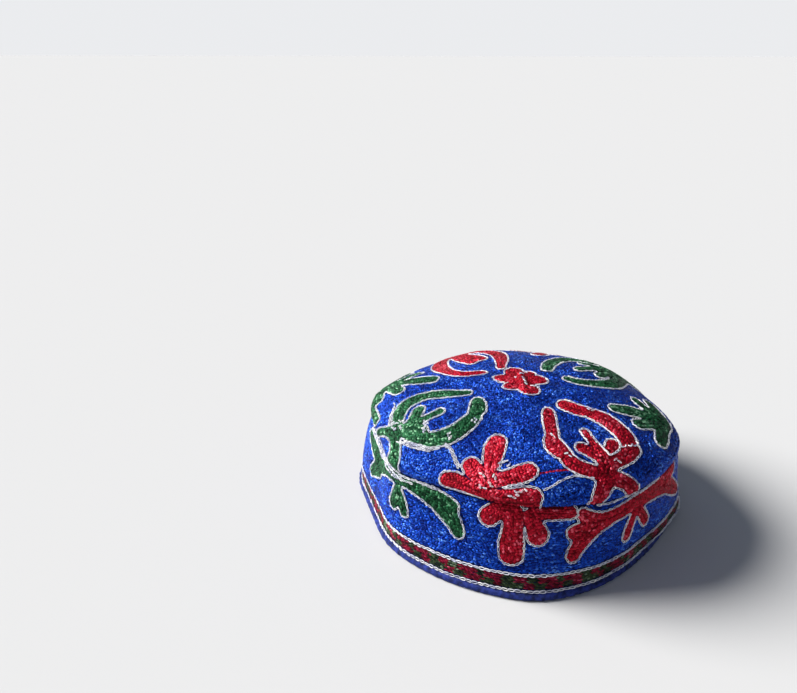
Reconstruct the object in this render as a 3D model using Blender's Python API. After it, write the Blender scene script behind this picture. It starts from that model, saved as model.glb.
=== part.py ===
"""A soft embroidered skullcap: a domed crown, an upright side band and a bound rim.

Metres, +Z up. The front of the cap faces -Y and the rim lies on the floor at Z = 0.
Azimuths are in degrees, counted from the front (-Y) towards +X. The cap is hollow:
every piece is a cloth wall, and the pieces keep a small gap where they are sewn.
"""
from math import asin, cos, hypot, pi, radians, sin

import bmesh
import bpy

# Driving sizes
BAND_HEIGHT = 0.0459
CROWN_RISE = 0.0258
RIM_RADIUS = 0.0884
SEAM_RADIUS = 0.0848
BAND_WALL = 0.0020
CROWN_WALL = 0.0022
BINDING_WALL = 0.0014
BINDING_HEIGHT = 0.0038
SEWING_GAP = 0.0003

# Soft forms
BAND_BOW = 0.0018
SEAM_CREASE = 0.0009
SEAM_CREASE_HEIGHT = 0.0060
CROWN_PUFF = 0.0018
PUFF_SHARE_OF_CLIMB = 0.36
FOLD_RISE = 0.0014
DENT_DEPTH = 0.0012
PINCH_RISE = 0.0028
PINCH_LENGTH = 0.0120
PINCH_WIDTH = 0.0034
PINCH_AZIMUTH = 15.0
PINCH_FADE_SHARE = 0.4

# Fineness of the facets
FACETS_AROUND = 72
BAND_RINGS = 8
CROWN_RINGS = 13
CROWN_RING_CROWDING = 1.25
LINING_RINGS = 9
SHARP_ANGLE = 50.0

# Rings inside the pinch, as shares of PINCH_LENGTH
PINCH_RINGS = (0.56, 0.42, 0.29, 0.18, 0.08)

# The cloth rim has soft corners, the largest at the front and to the right.
# Columns: azimuth, share of RIM_RADIUS
RIM_SHAPE = (
    (-165, 1.010),
    (-135, 1.000),
    (-105, 1.035),
    (-84, 1.032),
    (-70, 0.975),
    (-57, 0.960),
    (-40, 0.998),
    (-22, 1.007),
    (-3, 1.020),
    (13, 1.036),
    (30, 0.993),
    (45, 0.947),
    (61, 0.924),
    (79, 0.950),
    (95, 1.037),
    (110, 1.095),
    (130, 1.065),
    (165, 1.005),
)

# The crown's seam is pressed in on the left.
# Columns: azimuth, share of SEAM_RADIUS
SEAM_SHAPE = (
    (-165, 1.000),
    (-140, 0.970),
    (-118, 0.940),
    (-101, 0.966),
    (-88, 0.996),
    (-71, 0.962),
    (-55, 0.962),
    (-38, 1.018),
    (-20, 0.965),
    (0, 0.970),
    (15, 0.980),
    (45, 0.990),
    (75, 0.980),
    (105, 0.985),
    (145, 1.000),
)

# Where the side band bows outwards at half its height.
# Columns: azimuth, half width in degrees, share of BAND_BOW
BAND_BOWS = (
    (-82, 20, 1.0),
)

# Soft ridges that run up the crown from the corners of the rim.
# Columns: azimuth, half width in degrees, share of FOLD_RISE
CROWN_FOLDS = (
    (15, 17, 0.7),
    (62, 20, 0.6),
    (142, 20, 1.3),
    (-163, 20, 0.2),
    (-78, 18, 1.0),
    (-35, 16, 0.5),
)

# Shallow hollows pressed into the crown.
# Columns: azimuth, climb (0 at the seam, 1 at the top), half width as a share of SEAM_RADIUS,
# share of DENT_DEPTH
CROWN_DENTS = (
    (38, 0.62, 0.22, 1.0),
    (-12, 0.38, 0.20, 0.7),
    (84, 0.45, 0.20, 1.0),
    (112, 0.35, 0.20, 0.8),
    (170, 0.50, 0.24, 1.0),
    (-120, 0.50, 0.24, 1.0),
    (-55, 0.70, 0.20, 0.6),
)

# The folded strip's section, once round. Columns: the face of the band that it starts from,
# the end of the strip's height that it starts from, the distance away from the band and the
# height above that end, both as shares of BINDING_WALL
BINDING_SECTION = (
    ("outer", "top", 0.00, 0.00),
    ("outer", "top", 0.60, -0.10),
    ("outer", "top", 1.00, -0.55),
    ("outer", "top", 1.15, -1.60),
    ("outer", "foot", 1.00, 0.50),
    ("outer", "foot", 0.55, 0.00),
    ("inner", "foot", 0.55, 0.00),
    ("inner", "foot", 1.00, 0.50),
    ("inner", "top", 1.00, -0.55),
    ("inner", "top", 0.60, -0.10),
    ("inner", "top", 0.00, 0.00),
    ("inner", "foot", 0.00, 1.00),
    ("outer", "foot", 0.00, 1.00),
)

# Rows by name, with columns: red, green, blue, roughness
CLOTHS = {
    "crown_cloth": (0.010, 0.040, 0.400, 0.75),
    "band_cloth": (0.010, 0.035, 0.360, 0.75),
    "binding_cloth": (0.030, 0.040, 0.260, 0.70),
}


def around(shape, azimuth):
    """Smooth share at an azimuth, from a table of corners that closes on itself."""
    count = len(shape)
    turn = (azimuth - shape[0][0]) % 360.0
    starts = [(row[0] - shape[0][0]) % 360.0 for row in shape]
    index = max(place for place in range(count) if starts[place] <= turn)
    before, first, second, after = [shape[(index + offset) % count][1] for offset in (-1, 0, 1, 2)]
    span = (starts[(index + 1) % count] or 360.0) - starts[index]
    span_before = (starts[index] - starts[index - 1]) % 360.0
    span_after = (starts[(index + 2) % count] - starts[(index + 1) % count]) % 360.0
    slope_in = (second - before) / (span_before + span) * span
    slope_out = (after - first) / (span + span_after) * span
    step = (turn - starts[index]) / span
    bend = 2 * (first - second) + slope_in + slope_out
    return first + step * (slope_in + step * (second - first - slope_in - bend * (1 - step)))


def smooth_step(share):
    """0 below 0, 1 above 1 and a soft rise between them."""
    share = min(max(share, 0.0), 1.0)
    return share * share * (3 - 2 * share)


def hump(distance, half_width):
    """A round hump of height 1 that fades out at twice its half width."""
    reach = min(abs(distance) / (2 * half_width), 1.0)
    return (1 - reach * reach) ** 2


def bulge(share):
    """Rises fast from 0 to 1 at a third of the way, then fades smoothly to 0."""
    share = min(max(share, 0.0), 1.0)
    return 6.75 * share * (1 - share) ** 2


def degrees_apart(azimuth, other):
    """Signed angle between two azimuths, from -180 to 180."""
    return (azimuth - other + 180) % 360 - 180


def polar(azimuth, radius, height):
    """A point from its azimuth, radius and height."""
    turn = radians(azimuth)
    return (radius * sin(turn), -radius * cos(turn), height)


def band_radius(azimuth, height):
    """Outer radius of the side band at a height above the floor."""
    rim = RIM_RADIUS * around(RIM_SHAPE, azimuth)
    seam = SEAM_RADIUS * around(SEAM_SHAPE, azimuth)
    share = height / BAND_HEIGHT
    radius = rim + (seam - rim) * share
    for bow_azimuth, half_width, bow_share in BAND_BOWS:
        spread = hump(degrees_apart(azimuth, bow_azimuth), half_width)
        radius += BAND_BOW * bow_share * spread * sin(share * pi)
    return radius - SEAM_CREASE * (1 - smooth_step((BAND_HEIGHT - height) / SEAM_CREASE_HEIGHT))


def crown_profile(azimuth, climb):
    """Radius and height of the crown's smooth outer face: climb is 0 at the seam, 1 at the top."""
    angle = climb * pi / 2
    past_edge = climb / PUFF_SHARE_OF_CLIMB
    radius = SEAM_RADIUS * around(SEAM_SHAPE, azimuth) * cos(angle)
    radius += CROWN_PUFF * bulge(past_edge) - SEAM_CREASE * (1 - smooth_step(2 * past_edge))
    height = BAND_HEIGHT + SEWING_GAP + CROWN_RISE * sin(angle)
    for fold_azimuth, half_width, share in CROWN_FOLDS:
        ridge = hump(degrees_apart(azimuth, fold_azimuth), half_width)
        height += FOLD_RISE * share * ridge * sin(climb * pi) ** 1.5
    for dent_azimuth, dent_climb, half_width, share in CROWN_DENTS:
        across = radians(degrees_apart(azimuth, dent_azimuth)) * cos(dent_climb * pi / 2)
        along = (climb - dent_climb) * pi / 2
        edge_fade = smooth_step(2 * past_edge)
        height -= DENT_DEPTH * share * hump(hypot(across, along), half_width) * edge_fade
    return radius, height


def pinch(azimuth, radius):
    """Height of the small ridge pinched up at the top of the crown."""
    turn = radians(azimuth - PINCH_AZIMUTH)
    along = radius * cos(turn) / PINCH_LENGTH
    across = radius * sin(turn) / PINCH_WIDTH
    return PINCH_RISE * hump(hypot(along, across), PINCH_FADE_SHARE)


def crown_outer(azimuth, climb):
    """A point on the crown's outer face."""
    radius, height = crown_profile(azimuth, climb)
    return polar(azimuth, radius, height + pinch(azimuth, radius))


def crown_inner(azimuth, climb):
    """A point on the crown's inner face, one wall below the smooth outer face."""
    radius, height = crown_profile(azimuth, climb)
    if climb == 0.0:
        return polar(azimuth, radius - CROWN_WALL, height)
    near = 0.01
    low_radius, low_height = crown_profile(azimuth, climb - near)
    high_radius, high_height = crown_profile(azimuth, min(climb + near, 1.0))
    length = hypot(high_radius - low_radius, high_height - low_height)
    inward = CROWN_WALL * (high_height - low_height) / length
    downward = CROWN_WALL * (low_radius - high_radius) / length
    return polar(azimuth, radius - inward, height - downward)


def azimuths():
    """Azimuth of each facet's edge, once round the cap."""
    return [360.0 * index / FACETS_AROUND for index in range(FACETS_AROUND)]


def add_ring(mesh, point_at):
    """One closed ring of vertices: point_at gives the point at an azimuth."""
    return [mesh.verts.new(point_at(azimuth)) for azimuth in azimuths()]


def join_rings(mesh, low, high):
    """Quads between two rings: they face outwards when high is above low."""
    for index in range(FACETS_AROUND):
        following = (index + 1) % FACETS_AROUND
        mesh.faces.new((low[index], low[following], high[following], high[index]))


def close_top(mesh, ring, point, outwards):
    """A fan of triangles from a ring to one point above it."""
    top = mesh.verts.new(point)
    for index in range(FACETS_AROUND):
        following = (index + 1) % FACETS_AROUND
        corners = (ring[index], ring[following], top)
        mesh.faces.new(corners if outwards else corners[::-1])


def climb_at(radius):
    """How far up the crown a ring of this radius lies."""
    return 1 - asin(radius / SEAM_RADIUS) * 2 / pi


def outer_climbs():
    """Climbs of the outer rings: crowded near the seam, and again inside the pinch."""
    pinch_climbs = [climb_at(share * PINCH_LENGTH) for share in PINCH_RINGS]
    shares = [(ring / CROWN_RINGS) ** CROWN_RING_CROWDING for ring in range(CROWN_RINGS)]
    return [share * pinch_climbs[0] for share in shares] + pinch_climbs


def inner_climbs():
    """Climbs of the inner rings, crowded near the seam."""
    return [(ring / LINING_RINGS) ** CROWN_RING_CROWDING for ring in range(LINING_RINGS)]


def build_crown(mesh):
    """The domed top, puffed out above the seam and pinched up in the middle."""
    outer = [
        add_ring(mesh, lambda azimuth, climb=climb: crown_outer(azimuth, climb))
        for climb in outer_climbs()
    ]
    inner = [
        add_ring(mesh, lambda azimuth, climb=climb: crown_inner(azimuth, climb))
        for climb in inner_climbs()
    ]
    for low, high in zip(outer, outer[1:]):
        join_rings(mesh, low, high)
    for low, high in zip(inner, inner[1:]):
        join_rings(mesh, high, low)
    join_rings(mesh, inner[0], outer[0])
    close_top(mesh, outer[-1], crown_outer(0.0, 1.0), True)
    close_top(mesh, inner[-1], crown_inner(0.0, 1.0), False)


def band_ring(mesh, height, depth):
    """One ring of the band at a height, a depth in from its outer face."""
    return add_ring(mesh, lambda azimuth: polar(azimuth, band_radius(azimuth, height) - depth, height))


def build_band(mesh):
    """The upright wall between the binding and the crown's seam."""
    foot = BINDING_WALL + SEWING_GAP
    heights = [foot + (BAND_HEIGHT - foot) * ring / BAND_RINGS for ring in range(BAND_RINGS + 1)]
    outer = [band_ring(mesh, height, 0.0) for height in heights]
    inner = [band_ring(mesh, height, BAND_WALL) for height in heights]
    for low, high in zip(outer, outer[1:]):
        join_rings(mesh, low, high)
    for low, high in zip(inner, inner[1:]):
        join_rings(mesh, high, low)
    join_rings(mesh, inner[0], outer[0])
    join_rings(mesh, outer[-1], inner[-1])


def build_binding(mesh):
    """A plain strip folded round the band's lower edge, flat underneath."""
    rings = []
    for face, end, away, up in BINDING_SECTION:
        height = up * BINDING_WALL + (BINDING_HEIGHT if end == "top" else 0.0)
        gap = SEWING_GAP + away * BINDING_WALL
        depth = -gap if face == "outer" else BAND_WALL + gap
        rings.append(band_ring(mesh, height, depth))
    for index, ring in enumerate(rings):
        join_rings(mesh, rings[(index + 1) % len(rings)], ring)


def cloth(name):
    """A plain material for one piece."""
    red, green, blue, roughness = CLOTHS[name]
    material = bpy.data.materials.new(name)
    material.use_nodes = True
    shader = material.node_tree.nodes["Principled BSDF"]
    shader.inputs["Base Color"].default_value = (red, green, blue, 1.0)
    shader.inputs["Roughness"].default_value = roughness
    shader.inputs["Metallic"].default_value = 0.0
    return material


def add_piece(name, build, material, cap):
    """One named piece, built by its own function and held by the cap's empty."""
    mesh = bmesh.new()
    build(mesh)
    data = bpy.data.meshes.new(name)
    mesh.to_mesh(data)
    mesh.free()
    data.materials.append(cloth(material))
    data.shade_smooth()
    data.set_sharp_from_angle(angle=radians(SHARP_ANGLE))
    piece = bpy.data.objects.new(name, data)
    bpy.context.collection.objects.link(piece)
    piece.parent = cap
    return piece


def footprint_middle(pieces):
    """Middle of the pieces' box, seen from above."""
    corners = [vertex.co for piece in pieces for vertex in piece.data.vertices]
    across = [corner.x for corner in corners]
    deep = [corner.y for corner in corners]
    return (min(across) + max(across)) / 2, (min(deep) + max(deep)) / 2


def main():
    for thing in list(bpy.data.objects):
        bpy.data.objects.remove(thing, do_unlink=True)
    cap = bpy.data.objects.new("cap", None)
    bpy.context.collection.objects.link(cap)
    pieces = [
        add_piece("crown", build_crown, "crown_cloth", cap),
        add_piece("side_band", build_band, "band_cloth", cap),
        add_piece("hem_binding", build_binding, "binding_cloth", cap),
    ]
    middle_x, middle_y = footprint_middle(pieces)
    cap.location = (-middle_x, -middle_y, 0.0)
    bpy.context.view_layer.update()


main()
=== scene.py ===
"""Looks of an embroidered skullcap: cloth walls, machine chain stitch and a bound rim.

The frame is in metres. Azimuths are in degrees, from the front (-Y) towards +X. The embroidery is
drawn on two flat charts in millimetres, which are then laid on the cap. On the crown's chart a point
lies as seen from above, at its distance along the cloth from the top. On the band's chart X runs
round the cap and Y is the height above the floor.
"""

from math import atan2, cos, hypot, pi, radians, sin

import bpy
import numpy as np
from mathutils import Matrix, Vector
from mathutils.bvhtree import BVHTree


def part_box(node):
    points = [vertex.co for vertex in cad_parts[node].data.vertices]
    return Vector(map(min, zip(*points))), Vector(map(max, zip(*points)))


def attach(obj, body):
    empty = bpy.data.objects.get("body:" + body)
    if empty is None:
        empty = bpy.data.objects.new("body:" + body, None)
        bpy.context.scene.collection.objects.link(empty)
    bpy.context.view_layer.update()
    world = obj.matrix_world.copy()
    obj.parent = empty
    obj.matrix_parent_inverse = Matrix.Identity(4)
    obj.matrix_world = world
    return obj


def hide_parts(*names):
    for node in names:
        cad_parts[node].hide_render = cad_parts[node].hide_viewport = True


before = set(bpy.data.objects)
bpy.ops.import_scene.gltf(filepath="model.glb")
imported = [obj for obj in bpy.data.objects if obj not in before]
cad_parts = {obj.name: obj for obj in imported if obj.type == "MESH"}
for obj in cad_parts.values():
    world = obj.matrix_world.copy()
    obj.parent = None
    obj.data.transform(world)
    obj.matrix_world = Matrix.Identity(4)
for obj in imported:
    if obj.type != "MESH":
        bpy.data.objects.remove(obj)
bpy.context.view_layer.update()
dice = np.random.default_rng(11)

MM = 0.001

# Where the azimuths are counted from, in the frame
POLE_X = -0.00016
POLE_Y = 0.00092

# Charts, in millimetres
CROWN_REACH = 92.9
MM_PER_DEGREE = 1.536
BAND_TOP = 46.2
CHART_STEP = 0.576
FAR = 22.0
BAND_LENGTH = 360 * MM_PER_DEGREE

# Rows of stitches, in millimetres: how long a stitch is and how far apart the rows lie
GROUND_PITCH = 1.28
GROUND_ROW = 0.68
DASH_PITCH = 1.75
DASH_ROW = 0.68
FILL_PITCH = 1.65
FILL_ROW = 0.82
OUTLINE_PITCH = 2.35
MARK_PITCH = 1.5
BORDER_PITCH = 2.9
BLOCK_PITCH = 1.7
BLOCK_ROW = 0.66
FIRST_GROUND_ROW = 1.0
FIRST_FILL_ROW = 0.95
SEAM_MARGIN = 0.45

# Stitches. Columns: width and rise in millimetres, spread of heading in degrees, spread of place in
# millimetres, spread of roll in degrees, lift in millimetres
STITCHES = {
    "ground": (0.94, 0.38, 20, 0.13, 30, 0.0),
    "dash": (0.88, 0.36, 8, 0.09, 26, 0.0),
    "fill": (1.22, 0.40, 9, 0.07, 22, 0.0),
    "outline": (1.26, 0.42, 7, 0.09, 12, 0.22),
    "mark": (1.00, 0.42, 30, 0.30, 20, 0.40),
    "border": (1.80, 0.50, 3, 0.05, 8, 0.20),
    "block": (0.85, 0.34, 4, 0.05, 14, 0.0),
}

# Motifs. Columns: x towards growing azimuth, y towards the top, half width; all in millimetres.
# The horned motif's chart has its middle 78 mm from the top, the sprig's 84 mm.
HORN_MIDDLE = 78.0
HORN_LEGS = {
    "left_leg": ((-10.5, -2.0, 4.6), (-15.0, -5.0, 4.1), (-19.5, -8.6, 4.1), (-23.0, -13.0, 4.0)),
    "right_leg": ((-8.0, -3.0, 4.6), (-3.5, -6.5, 4.4), (0.5, -11.0, 4.3), (3.0, -16.5, 4.2)),
}
HORN_FRONT_RIGHT = {
    "left_tip": ((-8.2, 45.4, 3.2), (-11.6, 41.0, 3.7), (-15.2, 36.0, 3.7), (-18.2, 31.2, 3.5), (-20.7, 28.2, 3.0)),
    "left_bulb": ((-22.0, 26.0, 4.4), (-23.1, 22.0, 5.7), (-22.8, 18.0, 4.9), (-22.3, 15.2, 3.6)),
    "left_root": ((-22.7, 11.6, 4.5), (-20.8, 7.7, 4.3), (-17.0, 4.0, 4.0), (-12.8, 0.8, 4.1), (-10.5, -2.0, 4.7)),
    "right_tip": ((3.9, 45.6, 4.9), (6.2, 41.2, 5.0), (9.6, 36.8, 4.7)),
    "right_arm": ((12.8, 32.0, 5.4), (15.6, 26.5, 6.1), (16.5, 20.0, 6.1), (16.2, 15.0, 6.0), (14.4, 10.8, 4.8)),
    "right_root": ((13.4, 7.4, 5.4), (8.2, 4.8, 4.4), (2.0, 3.4, 3.8), (-4.0, 3.0, 3.8), (-9.0, 0.0, 4.6)),
    "left_lobe": ((-11.3, 16.0, 4.0), (-9.4, 11.6, 3.7), (-7.8, 7.0, 3.2), (-8.0, 2.0, 3.6)),
    "middle_lobe": ((-2.0, 24.9, 2.5), (-2.9, 21.0, 2.4), (-3.7, 17.0, 2.6), (-5.0, 11.0, 3.3), (-6.6, 4.0, 3.8)),
    **HORN_LEGS,
}
HORN_INNER_LOBE = {
    "right_lobe": ((5.2, 11.9, 4.2), (1.2, 9.6, 3.6), (-4.0, 7.0, 3.6)),
}
HORN_FRONT_LEFT = {
    "left_tip": ((-6.3, 44.8, 3.0), (-10.3, 39.6, 3.5), (-14.3, 34.6, 4.0), (-18.2, 29.4, 4.2)),
    "left_bulb": ((-20.6, 24.5, 4.0), (-22.4, 19.0, 4.6), (-22.8, 14.0, 4.9), (-21.0, 9.2, 4.6)),
    "left_root": ((-21.0, 9.2, 4.6), (-17.0, 5.4, 4.2), (-12.6, 2.2, 4.2), (-8.5, -0.5, 4.8)),
    "right_tip": ((4.6, 45.4, 3.3), (8.6, 42.6, 4.1), (12.8, 38.8, 4.4)),
    "right_arm": ((16.2, 33.4, 4.4), (18.4, 27.4, 5.2), (19.3, 21.0, 5.5), (18.4, 15.2, 5.8), (15.6, 10.6, 5.2)),
    "right_root": ((11.0, 8.2, 4.5), (4.5, 6.0, 4.6), (-3.0, 4.0, 4.6), (-8.0, 0.0, 4.8)),
    "left_lobe": ((-11.4, 16.4, 3.9), (-8.4, 13.0, 4.0), (-5.4, 9.0, 3.8), (-5.0, 4.0, 4.0)),
    "middle_lobe": ((0.0, 24.6, 3.0), (-0.6, 19.0, 2.9), (-1.2, 14.0, 3.2), (-3.0, 8.0, 3.8)),
    "right_lobe": ((6.0, 10.6, 3.5), (1.2, 9.0, 3.6), (-3.0, 7.0, 3.6)),
    "left_leg": ((-10.0, -1.0, 4.6), (-15.0, -3.4, 3.5), (-20.0, -5.4, 2.9), (-25.0, -7.6, 2.8)),
    "right_leg": ((-7.0, -1.5, 4.4), (-1.0, -3.4, 3.4), (4.5, -6.4, 3.8), (7.4, -10.4, 5.0), (6.0, -15.6, 7.0)),
}
HORN_BACK_RIGHT = {
    "left_arm": (
        (-9.4, 52.0, 2.9), (-14.0, 48.0, 3.7), (-17.6, 42.0, 4.1), (-19.8, 35.0, 4.7), (-20.6, 28.0, 5.2),
        (-18.6, 21.0, 5.2), (-14.6, 13.5, 4.8), (-10.0, 5.5, 4.6), (-8.0, 0.0, 4.8),
    ),
    "right_arm": (
        (5.2, 54.8, 3.4), (9.4, 50.4, 4.0), (13.0, 45.0, 4.5), (16.0, 38.5, 5.0), (17.6, 31.0, 5.2),
        (16.8, 23.0, 5.4), (13.5, 15.5, 5.4), (8.0, 8.5, 5.0), (0.0, 3.0, 4.8), (-6.0, 0.0, 4.8),
    ),
    "left_lobe": ((-10.3, 27.8, 3.6), (-8.6, 21.5, 3.8), (-7.0, 14.0, 4.2), (-7.0, 5.0, 4.2)),
    "middle_lobe": ((-1.3, 37.3, 2.8), (-1.2, 30.5, 3.0), (-2.0, 23.0, 3.4), (-4.0, 14.0, 4.0)),
    "right_lobe": ((7.0, 25.0, 3.8), (3.0, 18.0, 3.8), (-3.0, 10.0, 4.0)),
    **HORN_LEGS,
}
HORN_BACK_LEFT = {
    "left_arm": (
        (-2.6, 55.6, 3.0), (-7.6, 50.2, 3.5), (-12.6, 43.6, 4.3), (-16.8, 35.8, 5.0), (-19.6, 27.5, 5.4),
        (-20.5, 19.5, 5.2), (-18.0, 11.5, 4.8), (-13.0, 5.0, 4.6), (-8.5, -1.0, 4.8),
    ),
    "right_arm": (
        (12.4, 54.6, 3.9), (17.4, 53.0, 4.6), (22.2, 48.4, 4.8), (24.2, 41.5, 4.7), (23.7, 33.5, 5.0),
        (21.4, 25.5, 5.4), (17.5, 17.5, 5.6), (12.0, 10.0, 5.2), (4.0, 4.0, 4.8), (-6.0, 0.0, 4.8),
    ),
    "left_lobe": ((-4.6, 33.6, 4.2), (-5.6, 26.0, 4.4), (-5.6, 18.0, 4.6), (-6.5, 8.0, 4.6), (-7.5, 0.0, 4.6)),
    "middle_lobe": ((3.2, 33.8, 4.0), (2.4, 26.5, 4.2), (1.0, 18.0, 4.2), (-3.0, 8.0, 4.4)),
    **HORN_LEGS,
}
SPRIG_MIDDLE = 84.0
SPRIG_FRONT = {
    "middle": ((0.1, 24.7, 4.7), (-0.4, 20.0, 5.5), (-0.1, 15.0, 5.0), (0.5, 10.0, 4.0), (0.8, 4.0, 3.6)),
    "upper_left": ((-9.6, 8.1, 4.8), (-7.0, 5.5, 5.0), (-4.0, 2.5, 4.1), (-1.0, -0.5, 3.6)),
    "lower_left": ((-20.6, -0.4, 4.1), (-16.0, -0.9, 4.4), (-11.0, -2.2, 3.8), (-6.0, -3.8, 3.2), (0.0, -4.4, 3.6)),
    "right": ((18.8, 12.0, 4.4), (15.4, 9.2, 4.9), (11.0, 6.2, 4.4), (6.5, 3.6, 3.9), (1.5, 0.8, 3.8)),
    "lower_right": ((23.6, 0.2, 4.6), (18.0, -1.7, 4.6), (12.0, -3.7, 4.2), (6.0, -4.8, 3.8), (0.0, -4.4, 3.6)),
    "over_seam": ((25.5, -4.6, 3.6), (19.0, -7.4, 4.2), (12.0, -9.4, 4.4), (5.0, -9.6, 4.0)),
}
SPRIG_RIGHT = {
    "middle": ((-6.0, 31.6, 4.0), (-3.0, 27.0, 4.9), (1.0, 21.5, 5.1), (4.0, 15.0, 4.7), (6.0, 7.0, 4.2)),
    "upper_left": ((-11.2, 18.4, 4.0), (-7.0, 15.0, 4.3), (-2.0, 10.5, 4.2), (4.0, 5.0, 4.0)),
    "lower_left": ((-17.2, 5.9, 3.5), (-11.0, 5.6, 3.9), (-4.0, 5.2, 3.7), (3.0, 4.6, 3.8)),
    "right": ((18.2, 19.8, 4.0), (14.0, 15.0, 4.3), (9.0, 9.5, 4.0), (5.0, 5.0, 3.8)),
    "lower_right": ((28.0, 11.5, 4.2), (21.0, 8.6, 4.3), (13.0, 5.6, 4.0), (5.0, 3.8, 3.6)),
}
SPRIG_LEFT = {
    "middle": ((7.3, 33.6, 5.1), (6.8, 27.0, 5.5), (5.6, 20.0, 5.2), (4.6, 13.0, 4.2), (4.0, 6.0, 3.8)),
    "upper_left": ((-10.5, 16.5, 4.6), (-5.0, 12.5, 4.6), (1.0, 7.0, 4.0)),
    "lower_left": ((-20.0, 6.0, 4.2), (-12.0, 4.0, 4.2), (-4.0, 2.0, 3.6), (3.0, 1.0, 3.6)),
    "right": ((17.0, 17.0, 4.1), (13.0, 13.6, 4.3), (8.0, 9.0, 4.0), (5.0, 5.0, 3.8)),
    "lower_right": ((20.0, 4.2, 3.6), (14.0, 3.2, 3.6), (7.0, 2.6, 3.6)),
    "along_seam": ((8.0, -1.0, 4.4), (18.0, -2.4, 4.6), (27.0, -0.6, 4.2), (34.0, 3.4, 3.6), (40.0, 7.6, 2.8)),
}
ROSETTE_STROKES = {
    "petal_left": ((-9.8, 3.2, 6.2), (-3.0, 1.0, 6.0)),
    "petal_top": ((-2.5, 12.0, 6.2), (0.0, 4.0, 5.5)),
    "petal_right": ((9.8, 0.5, 6.1), (3.0, 0.5, 6.0)),
    "petal_low": ((2.5, -11.6, 6.2), (0.0, -4.0, 5.5)),
    "petal_low_left": ((-6.8, -7.4, 5.0), (-2.0, -2.0, 5.0)),
    "petal_small": ((6.2, 9.0, 3.8), (2.0, 3.0, 4.0)),
}
# The band's motifs, with x in degrees from the front of the half that they lie in
BAND_SPRIG = {
    "middle": ((-10.1, 22.6, 6.0), (-10.2, 28.0, 6.1), (-10.0, 34.0, 5.4), (-10.0, 42.0, 5.0)),
    "left": ((-17.9, 39.3, 5.1), (-15.0, 42.5, 4.6), (-10.0, 44.0, 4.0)),
    "right": ((-2.3, 33.0, 5.5), (-3.2, 37.0, 4.6), (-5.0, 42.0, 3.6)),
    "arm": ((8.6, 43.6, 3.0), (3.0, 43.6, 3.2), (-3.0, 43.6, 3.4)),
}
BRANCH_RIGHT = {
    "leaf": ((9.4, 21.3, 3.9), (10.6, 25.0, 4.4), (13.2, 30.0, 4.9), (17.0, 34.8, 5.0), (22.0, 37.0, 4.3)),
    "leaf_low_lobe": ((9.4, 33.6, 4.2), (13.0, 34.0, 4.6), (18.0, 36.0, 4.4)),
    "leaf_high_lobe": ((12.0, 42.0, 3.4), (16.0, 38.8, 4.0), (20.0, 37.5, 4.0)),
    "stem": ((20.0, 37.2, 4.2), (27.0, 38.8, 4.2), (34.0, 40.2, 4.6), (42.0, 40.4, 4.9), (50.0, 40.0, 6.0)),
    "fork_high": ((50.0, 40.2, 5.6), (55.0, 42.4, 4.8), (59.0, 44.2, 3.8)),
    "fork_low": ((50.0, 39.0, 5.2), (56.0, 35.4, 5.0), (61.5, 30.0, 4.6), (67.0, 24.6, 3.8), (71.0, 20.6, 3.0)),
    "drop_left": ((34.6, 37.0, 2.8), (32.6, 30.0, 3.3), (31.4, 25.5, 3.7), (31.0, 22.4, 3.5)),
    "drop_right": ((35.6, 37.0, 2.8), (37.8, 31.6, 3.1), (40.2, 27.0, 3.4), (41.6, 24.2, 3.2)),
}
BRANCH_LEFT = {
    "leaf": (
        (-27.7, 27.2, 3.7), (-29.6, 31.5, 4.6), (-32.6, 35.5, 5.2), (-36.5, 38.8, 4.8), (-41.0, 41.0, 4.2),
        (-45.6, 42.5, 3.4),
    ),
    "leaf_high_lobe": ((-30.2, 39.2, 3.4), (-33.2, 39.5, 4.2), (-37.1, 41.0, 4.0)),
    "stem": (
        (-45.6, 42.8, 3.2), (-50.8, 43.0, 3.0), (-56.7, 42.2, 3.2), (-61.9, 40.6, 3.6), (-67.1, 37.5, 4.6),
        (-72.3, 36.0, 5.0),
    ),
    "fork_high": ((-72.3, 37.4, 5.0), (-77.5, 38.0, 4.8), (-83.0, 38.6, 4.0), (-89.0, 40.0, 3.0)),
    "fork_low": ((-70.2, 33.0, 5.2), (-75.2, 28.8, 4.6), (-79.6, 24.0, 3.2)),
    "drop_left": ((-54.3, 27.0, 3.7), (-53.1, 32.0, 3.6), (-52.1, 38.0, 2.8)),
    "drop_right": ((-48.7, 26.0, 3.1), (-49.8, 30.5, 3.4), (-51.1, 36.0, 2.6)),
}

# Where the motifs sit on the crown. Columns: azimuth, distance of the chart's middle from the top,
# colour, strokes
CROWN_MOTIFS = (
    (-5, SPRIG_MIDDLE, "red", SPRIG_FRONT),
    (45, HORN_MIDDLE, "red", HORN_FRONT_RIGHT),
    (85, SPRIG_MIDDLE, "green", SPRIG_RIGHT),
    (135, HORN_MIDDLE, "green", HORN_BACK_RIGHT),
    (175, SPRIG_MIDDLE, "red", SPRIG_FRONT),
    (225, HORN_MIDDLE, "red", HORN_BACK_LEFT),
    (265, SPRIG_MIDDLE, "green", SPRIG_LEFT),
    (315, HORN_MIDDLE, "green", HORN_FRONT_LEFT),
    (15, 0.0, "red", ROSETTE_STROKES),
)
BAND_HALVES = (15, 195)

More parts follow.
